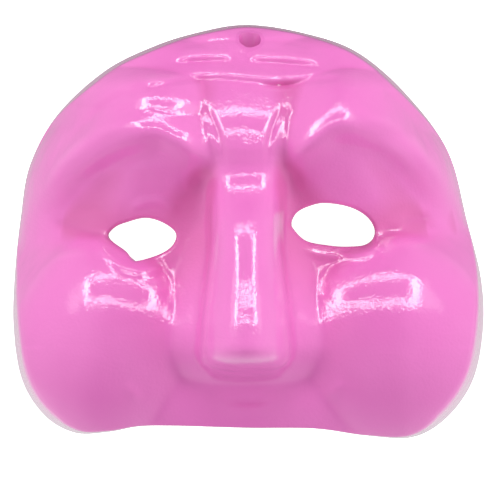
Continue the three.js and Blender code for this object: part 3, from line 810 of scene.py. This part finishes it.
def ring_edges(piece, ring):
    """The open edges whose two ends both lie on the ring."""
    mesh = piece.data
    index = np.nonzero(faces_at_edges(mesh) == 1)[0]
    ends = read(mesh.edges, "vertices", 2)[index]
    known = {place.tobytes() for place in ring}
    places = places_of(piece)
    on = [places[a].tobytes() in known and places[b].tobytes() in known for a, b in ends]
    return index[np.array(on)]


def grow_ring(piece, ring, u, v, z):
    """Extrudes an open edge once and sets the new ring on these places of the drawing."""
    pick(piece, "edges", ring_edges(piece, ring))
    bpy.ops.mesh.extrude_edges_move()
    done()
    new = to_space(u, v, z).astype(np.float32)
    known = {place.tobytes(): k for k, place in enumerate(ring)}
    places = places_of(piece)
    for index in np.nonzero(read(piece.data.vertices, "select", kind=bool))[0]:
        places[index] = new[known[places[index].tobytes()]]
    set_places(piece, places)
    return new


ROUND_STEPS = 4
quarter = [0.5 * math.pi * k / ROUND_STEPS for k in range(1, ROUND_STEPS + 1)]

turns = [(RIM_ROUND * (1 - math.cos(t)), RIM_ROUND * (1 - math.sin(t))) for t in quarter]
rim_profile = turns + [(WALL / 2, 0.0), (WALL - RIM_ROUND, 0.0)]
rim_profile += [(WALL - lift, inset) for inset, lift in turns[:-1]]
ring, angle = face_rim
for inset, lift in rim_profile:
    u, v = along_outline(angle, 1, inset)
    ring = grow_ring(face_sheet, ring, u, v, rim_height(u, v) + lift)
face_rim_end = ring

face_eye_ends, inside_eye_ends = [], []
for (outer, even, out), (inner, inner_even, inner_out) in zip(face_eyes, inside_eyes):
    for t in quarter:
        aside, down = 1 - math.sin(t), 1 - math.cos(t)
        u, v = (even + EYE_ROUND * aside * out).T
        outer = grow_ring(face_sheet, outer, u, v, face_height(u, v) - EYE_ROUND * down)
        u, v = (inner_even + INNER_ROUND * aside * inner_out).T
        inner = grow_ring(inside_sheet, inner, u, v, inside_height(u, v) + INNER_ROUND * down)
    face_eye_ends.append(outer)
    inside_eye_ends.append(inner)
print("face sheet with its rim:", len(face_sheet.data.polygons), "faces")

# %% [markdown]
# ## Joining the two sheets
# The inner sheet is turned to face inwards, the two are joined, and each pair of open edges is
# bridged, round the rim and in each eye hole. That makes one closed shell, as fired clay is.

# %% Joining the two sheets
pick(inside_sheet, "polygons", slice(None))
bpy.ops.mesh.flip_normals()
done()

only(face_sheet)
inside_sheet.select_set(True)
bpy.ops.object.join()
mask = face_sheet
mask.name = "glazed_half_mask"

for first, second in [(face_rim_end, inside_rim[0]), *zip(face_eye_ends, inside_eye_ends)]:
    pick(mask, "edges", np.concatenate([ring_edges(mask, first), ring_edges(mask, second)]))
    bpy.ops.mesh.bridge_edge_loops()
    done()

pick(mask, "polygons", slice(None))
bpy.ops.mesh.normals_make_consistent(inside=False)
done()
print("edges without two faces:", np.sum(faces_at_edges(mask.data) != 2))
print("one closed shell:", len(mask.data.polygons), "faces")

# %% [markdown]
# ## Centring
# The drawing was made round the camera's line. The solid model has its origin under its middle, so
# the mask is moved there.

# %% Centring
places = places_of(mask).astype(float)
rim_u, rim_v = along_outline(face_rim[1], 1, 0)
rim_places = to_space(rim_u, rim_v, rim_height(rim_u, rim_v))
middle = (rim_places.min(axis=0) + rim_places.max(axis=0)) / 2
shift = np.array([middle[0], middle[1], 0])
set_places(mask, places - shift)
print("moved by, mm:", np.round(-1000 * shift, 2))

# %% [markdown]
# ## The hanging hole
# One hole near the top takes a nail or a ribbon. It was pierced level through the wet wall, so it
# is drilled here with a cylinder and a boolean. Only its mouth stays sharp in the shading.

# %% The hanging hole
HOLE_RADIUS = 0.0033
HOLE_AT = (0.6, 64.2)
HOLE_DEPTH = 0.024
SHARP_FROM = 40  # degrees between two faces

hole_u, hole_v = np.array(HOLE_AT)[:, None]
hole_place = (to_space(hole_u, hole_v, face_height(hole_u, hole_v, with_folds=False)) - shift)[0]
bpy.ops.mesh.primitive_cylinder_add(
    vertices=64, radius=HOLE_RADIUS, depth=HOLE_DEPTH, location=hole_place,
    rotation=(math.pi / 2, 0, 0))
drill = bpy.context.object
only(mask)
cut = mask.modifiers.new("hanging hole", "BOOLEAN")
cut.operation, cut.solver, cut.object = "DIFFERENCE", "EXACT", drill
bpy.ops.object.modifier_apply(modifier=cut.name)
bpy.data.objects.remove(drill, do_unlink=True)
print("after drilling:", np.sum(read(mask.data.polygons, "loop_total") - 2), "triangles")

only(mask)
bpy.ops.object.shade_smooth_by_angle(angle=math.radians(SHARP_FROM))
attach(mask, "root")
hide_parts("mask_shell")

# %% [markdown]
# ## Where the glaze ends
# Glaze is poured over the face and runs a little way round each edge; the hollow stays bare, since
# nobody sees it. The border could be painted by hand, but here each point of the mesh gets its
# distance from the nearest edge, so the material knows where to change.

# %% Where the glaze ends
BARE_FROM = 6.0  # mm inside an edge, where the glaze ends
INNER_DEPTH = 4.0  # mm under the face, from where a point counts as inside
INNER_INSET = 3.6  # mm from the outline, likewise
BORE_MARGIN, BORE_ABOVE = 0.001, 40.0  # m round the bore, and mm on the drawing


def to_drawing(places):
    """The drawing's u and v and the height of each point, back from the room."""
    x, y, z = (1000 * (places.astype(float) + shift)).T
    scale = 1 - z / VIEW_DISTANCE
    return MIDDLE[0] + (x - MIDDLE[0]) / scale, MIDDLE[1] + (y - MIDDLE[1]) / scale, z


def add_value(piece, name, values):
    attribute = piece.data.attributes.new(name, "FLOAT", "POINT")
    attribute.data.foreach_set("value", values.astype(np.float32))


point_u, point_v, point_z = to_drawing(places_of(mask))
du, dv = point_u - MIDDLE[0], point_v - MIDDLE[1]
inset = outline_radius(np.arctan2(dv, du)) - np.hypot(du, dv)
under = face_height(point_u, point_v, with_folds=False) - point_z
from_edge = point_z - rim_height(point_u, point_v)
for points in EYES:
    from_eye, _ = beside_line(smooth_line(points + points[:1]), point_u, point_v)
    from_edge = np.minimum(from_edge, np.abs(from_eye))
across_bore = (places_of(mask) - hole_place)[:, [0, 2]]
in_bore = (np.hypot(*across_bore.T) < HOLE_RADIUS + BORE_MARGIN) & (point_v > BORE_ABOVE)
from_edge = np.where(in_bore, 0, from_edge)
is_inner = (under > INNER_DEPTH) & (inset > INNER_INSET)
add_value(mask, "inwards", np.where(is_inner, from_edge, 0))
print(f"bare clay: {np.mean(is_inner & (from_edge > BARE_FROM)):.0%} of the points")

# %% [markdown]
# ## Where the glaze runs thin, and where shade is painted
# Molten glaze creeps off every raised edge and gathers in every groove, so the pink is paler on a
# ridge and deeper in a fold; the deeper pink in the folds is partly painted shade. How raised a
# point is shows in its height against that of the face around it. The sockets and the foot of the
# nose get painted shade as well: a darker pink in each broad hollow.

# %% Where the glaze runs thin, and painted shade
RAISED_REACH = 1.6  # mm, for edges and creases
HOLLOW_REACH = 14.0  # mm, for the sockets and the foot of the nose
HOLLOW_DEPTH = 3.0  # mm, from where a hollow has its full painted shade
HOLLOW_FROM, HOLLOW_FADE = -30.0, 30.0  # below this place no shade is painted in the hollows
FACE_FROM, FACE_FADE = 1.5, 4.0  # mm inside the outline, where the steep wall ends


def raised(u, v, reach):
    """How much higher the face is at a place than around it, in millimetres."""
    around = [
        face_height(u + reach * math.cos(t), v + reach * math.sin(t))
        for t in np.arange(0, 2 * math.pi, math.pi / 3)
    ]
    return face_height(u, v) - np.mean(around, axis=0)


on_the_face = np.where(is_inner, 0, ease((inset - FACE_FROM) / FACE_FADE))
# Painted shade: the deeper a point lies in a broad hollow, the darker its pink; the "hollow"
# attribute carries it
shade_in_hollow = np.clip(-raised(point_u, point_v, HOLLOW_REACH) / HOLLOW_DEPTH, 0, 1)
high_up = ease((point_v - HOLLOW_FROM) / HOLLOW_FADE)
add_value(mask, "hollow", shade_in_hollow * on_the_face * high_up)
point_raised = np.clip(raised(point_u, point_v, RAISED_REACH), -1, 1) * on_the_face
# In the bore of the hanging hole the deeper pink is painted shade.
add_value(mask, "raised", np.where(in_bore, -1, point_raised))
print(f"in a hollow: {np.mean(shade_in_hollow * on_the_face > 0.5):.0%} of the points")

# %% [markdown]
# ## The glaze
# The real glaze is glassy and opaque: a smooth shine over one even pink, with the faint orange peel
# of a poured glaze, slow waves where it ran, and a few pinholes where gas came through. Noise of
# several sizes makes these. A photographed texture would bring the lamps of its own studio.

# %% A small kit for materials
class Nodes:
    """Adds nodes to a material or a world and links them in one go."""

    def __init__(self, owner):
        owner.use_nodes = True
        self.tree = owner.node_tree

    def put(self, target, value):
        if isinstance(value, bpy.types.NodeSocket):
            self.tree.links.new(value, target)
        else:
            target.default_value = value

    def add(self, kind, out=0, settings=None, **inputs):
        node = self.tree.nodes.new("ShaderNode" + kind)
        for key, value in (settings or {}).items():
            setattr(node, key, value)
        for key, value in inputs.items():
            key = int(key[1:]) if key[0] == "_" and key[1:].isdigit() else key.replace("_", " ")
            self.put(node.inputs[key], value)
        return node.outputs[out]

    def maths(self, operation, a, b=0.0):
        return self.add("Math", settings={"operation": operation}, _0=a, _1=b)

    def stretch(self, value, low, high, start=0.0, end=1.0):
        return self.add("MapRange", Value=value, From_Min=low, From_Max=high,
                        To_Min=start, To_Max=end)

    def blend(self, factor, a, b):
        node = self.tree.nodes.new("ShaderNodeMix")
        node.data_type = "RGBA"
        for index, value in ((0, factor), (6, a), (7, b)):
            self.put(node.inputs[index], value)
        return node.outputs[2]

    def noise(self, size, detail=2.0):
        """Noise whose grains are about this many millimetres wide."""
        return self.add("TexNoise", Vector=self.place, Scale=1000 / size, Detail=detail)

    def attribute(self, name):
        return self.add("Attribute", "Fac", settings={"attribute_name": name})


# %% The glaze
PINK = (0.79, 0.185, 0.55, 1)
THIN_PINK = (0.86, 0.26, 0.62, 1)
DEEP_PINK = (0.69, 0.125, 0.45, 1)
# painted shade for the sockets and the foot of the nose
HOLLOW_SHADE_PINK = (0.70, 0.15, 0.425, 1)
BARE_CLAY = (0.62, 0.53, 0.44, 1)
DARK_CLAY = (0.50, 0.41, 0.33, 1)
GLAZE_ROUGHNESS = 0.07
CLAY_ROUGHNESS = 0.85
GLAZE_IOR = 1.5
PEEL_SIZE, PEEL_DEPTH = 0.9, 0.00007
WAVE_SIZE, WAVE_DEPTH = 9.0, 0.0003
GRAIN_SIZE, GRAIN_DEPTH = 0.5, 0.00009
RAGGED_SIZE, RAGGED_BY = 7.0, 7.0  # mm, the uneven edge of the glaze
GLAZE_BORDER = 0.8  # mm, over which it thins out
CLOUD_SIZE, CLOUD_SHARE = 26.0, 0.25
THIN_AT, THIN_SHARE = (0.15, 0.7), 0.6  # mm raised
# mm raised; the deeper pink in the folds is partly pooled glaze and partly painted shade
POOLED_AND_SHADED_AT, POOLED_AND_SHADED_SHARE = (0.0, -0.6), 0.3
PINHOLES_APART, PINHOLES_FROM = 14.0, 0.86  # mm, and the share of places without one
PINHOLE_EDGE, PINHOLE_SHARE = (0.024, 0.014), 0.8

pink_glaze = bpy.data.materials.new("pink_glaze")
kit = Nodes(pink_glaze)
kit.place = kit.add("TexCoord", "Object")

ragged = kit.maths("SUBTRACT", kit.noise(RAGGED_SIZE, 3.0), 0.5)
ragged = kit.maths("MULTIPLY", ragged, RAGGED_BY)
bare = kit.maths("ADD", kit.attribute("inwards"), ragged)
bare = kit.stretch(bare, BARE_FROM, BARE_FROM + GLAZE_BORDER)

thin = kit.stretch(kit.attribute("raised"), *THIN_AT)
pooled_and_shaded = kit.stretch(kit.attribute("raised"), *POOLED_AND_SHADED_AT)
cloudy = kit.stretch(kit.noise(CLOUD_SIZE), 0.35, 0.65, 0.0, CLOUD_SHARE)
pink = kit.blend(cloudy, PINK, THIN_PINK)
# painted shade: the broad hollows get a darker pink
pink = kit.blend(kit.attribute("hollow"), pink, HOLLOW_SHADE_PINK)
pink = kit.blend(kit.maths("MULTIPLY", thin, THIN_SHARE), pink, THIN_PINK)
# deeper pink in the folds and in the hanging hole: partly pooled glaze, partly painted shade
pink = kit.blend(kit.maths("MULTIPLY", pooled_and_shaded, POOLED_AND_SHADED_SHARE), pink, DEEP_PINK)

distance = kit.add("TexVoronoi", "Distance", Vector=kit.place, Scale=1000 / PINHOLES_APART)
chance = kit.add("SeparateColor", Color=distance.node.outputs["Color"])
has_hole = kit.maths("GREATER_THAN", chance, PINHOLES_FROM)
pinhole = kit.maths("MULTIPLY", kit.stretch(distance, *PINHOLE_EDGE), has_hole)
pink = kit.blend(kit.maths("MULTIPLY", pinhole, PINHOLE_SHARE), pink, DEEP_PINK)

clay = kit.blend(kit.stretch(kit.noise(1.1, 4.0), 0.3, 0.7), BARE_CLAY, DARK_CLAY)
glazed = kit.maths("SUBTRACT", 1.0, bare)
waves = kit.add("Bump", Strength=glazed, Distance=WAVE_DEPTH, Height=kit.noise(WAVE_SIZE, 1.0))
peel = kit.add("Bump", Strength=glazed, Distance=PEEL_DEPTH, Height=kit.noise(PEEL_SIZE),
               Normal=waves)
grain = kit.add("Bump", Strength=bare, Distance=GRAIN_DEPTH, Height=kit.noise(GRAIN_SIZE, 3.0),
                Normal=peel)

shader = pink_glaze.node_tree.nodes["Principled BSDF"]
kit.put(shader.inputs["Base Color"], kit.blend(bare, pink, clay))
kit.put(shader.inputs["Roughness"], kit.stretch(bare, 0.0, 1.0, GLAZE_ROUGHNESS, CLAY_ROUGHNESS))
kit.put(shader.inputs["Normal"], grain)
shader.inputs["IOR"].default_value = GLAZE_IOR

mask.data.materials.clear()
mask.data.materials.append(pink_glaze)
print("glaze nodes:", len(kit.tree.nodes))

# %% [markdown]
# ## Floor and tent
# A glossy piece shows its surroundings, so product photographers put it in a tent of white cloth.
# The paper under the mask shines by itself, which keeps it even and white, and the world plays the
# tent: bright at both sides and below, dim above, with no picture needed.

# %% Floor and world
bpy.ops.mesh.primitive_plane_add(size=4)
floor = bpy.context.object
floor.name = "floor"
paper = bpy.data.materials.new("white_paper")
paper.use_nodes = True
for name, value in (("Base Color", (0.85, 0.85, 0.85, 1)), ("Roughness", 0.9),
                    ("Emission Color", (1, 1, 1, 1)), ("Emission Strength", 1.0)):
    paper.node_tree.nodes["Principled BSDF"].inputs[name].default_value = value
floor.data.materials.append(paper)
floor.visible_glossy = False
floor.visible_diffuse = False

TENT_NEAR = (0, -1, -1)  # towards the photographer's feet

world = bpy.data.worlds.new("white tent")
tent = Nodes(world)
direction = tent.add("TexCoord", "Generated")
sideways = tent.maths("ABSOLUTE", tent.add("SeparateXYZ", "X", Vector=direction))
sides = tent.stretch(sideways, 0.0, 1.0, start=0.07, end=0.8)
near = tent.add("VectorMath", "Value", settings={"operation": "DOT_PRODUCT"},
                _0=direction, _1=TENT_NEAR)
near = tent.stretch(near, low=0.5, high=1.3, end=0.75)
background = world.node_tree.nodes["Background"]
background.inputs["Color"].default_value = (1, 1, 1, 1)
tent.put(background.inputs["Strength"], tent.maths("ADD", sides, near))
bpy.context.scene.world = world
bpy.context.scene.view_settings.view_transform = "Standard"
print("tent nodes:", len(tent.tree.nodes))

# %% [markdown]
# ## The lamps
# In the photograph every shiny place shows the same bright rectangle with a darker middle. Four
# flat lamps build that frame, with two dim panels beside it, and they show in the glaze only. The
# soft light comes from four other lamps that don't show in it. Real lamps would do both, but apart
# each can be set on its own.

# %% The lamps
LAMP_TARGET = Vector((0, 0, 0.05))


def area_lamp(name, turn, elevation, distance, aside, size, radiance, seen_as):
    """A flat lamp that faces the mask. Its angles are from the camera's line."""
    upwards = Matrix.Rotation(-math.radians(elevation), 3, "X")
    turned = Matrix.Rotation(math.radians(turn), 3, "Y") @ upwards
    lamp = bpy.data.lights.new(name, "AREA")
    lamp.shape, (lamp.size, lamp.size_y) = "RECTANGLE", size
    lamp.energy = radiance * math.pi * size[0] * size[1]
    holder = bpy.data.objects.new(name, lamp)
    bpy.context.scene.collection.objects.link(holder)
    holder.location = LAMP_TARGET + turned @ Vector((*aside, distance))
    holder.rotation_euler = turned.to_euler()
    holder.visible_camera = False
    holder.visible_diffuse = seen_as == "light"
    holder.visible_glossy = seen_as == "reflection"


FRAME_X, FRAME_Y = 0.704, 0.272  # m, the whole frame
SHORT_X, LONG_Y = 0.10, 0.038  # m, how broad its short and long strips are
FRAME_ELEVATION, FRAME_DISTANCE, FRAME_RADIANCE = 50, 0.42, 14
frame_strips = [
    ("frame_long", (0, (FRAME_Y - LONG_Y) / 2), (FRAME_X, LONG_Y)),
    ("frame_short", ((FRAME_X - SHORT_X) / 2, 0), (SHORT_X, FRAME_Y - 2 * LONG_Y)),
]
for side in (-1, 1):
    for name, (aside, up), size in frame_strips:
        area_lamp(f"{name}_{side}", 0, FRAME_ELEVATION, FRAME_DISTANCE, (side * aside, side * up),
                  size, FRAME_RADIANCE, "reflection")
    area_lamp(f"side_panel_{side}", side * 58, 34, 0.6, (0, 0), (0.16, 0.32), 2.2, "reflection")

for name, turn, elevation, size, radiance in (
    ("top_light", 0, 62, (0.5, 0.5), 8.2),
    ("low_light", 0, -25, (0.6, 0.6), 2.7),
    ("left_light", -78, 0, (0.6, 0.9), 2.3),
    ("right_light", 78, 0, (0.6, 0.9), 2.6),
):
    area_lamp(name, turn, elevation, 1.0, (0, 0), size, radiance, "light")
print("lamps:", len(bpy.data.lights))

# %% [markdown]
# ## The camera
# It hangs straight over the mask, with its picture plane level like the plane of the back rim, at
# the distance that the drawing was made for.

# %% The camera
IMAGE_WIDTH = 163.35  # mm of the rim plane across the photograph
CAMERA_AT = (-0.165, -5.115, VIEW_DISTANCE)

camera = bpy.data.objects.new("camera", bpy.data.cameras.new("camera"))
bpy.context.scene.collection.objects.link(camera)
camera.data.lens = camera.data.sensor_width * VIEW_DISTANCE / IMAGE_WIDTH
camera.location = 0.001 * np.array(CAMERA_AT) - shift
camera.data.clip_start, camera.data.clip_end = 0.05, 20
bpy.context.scene.camera = camera
print(f"focal length: {camera.data.lens:.1f} mm")
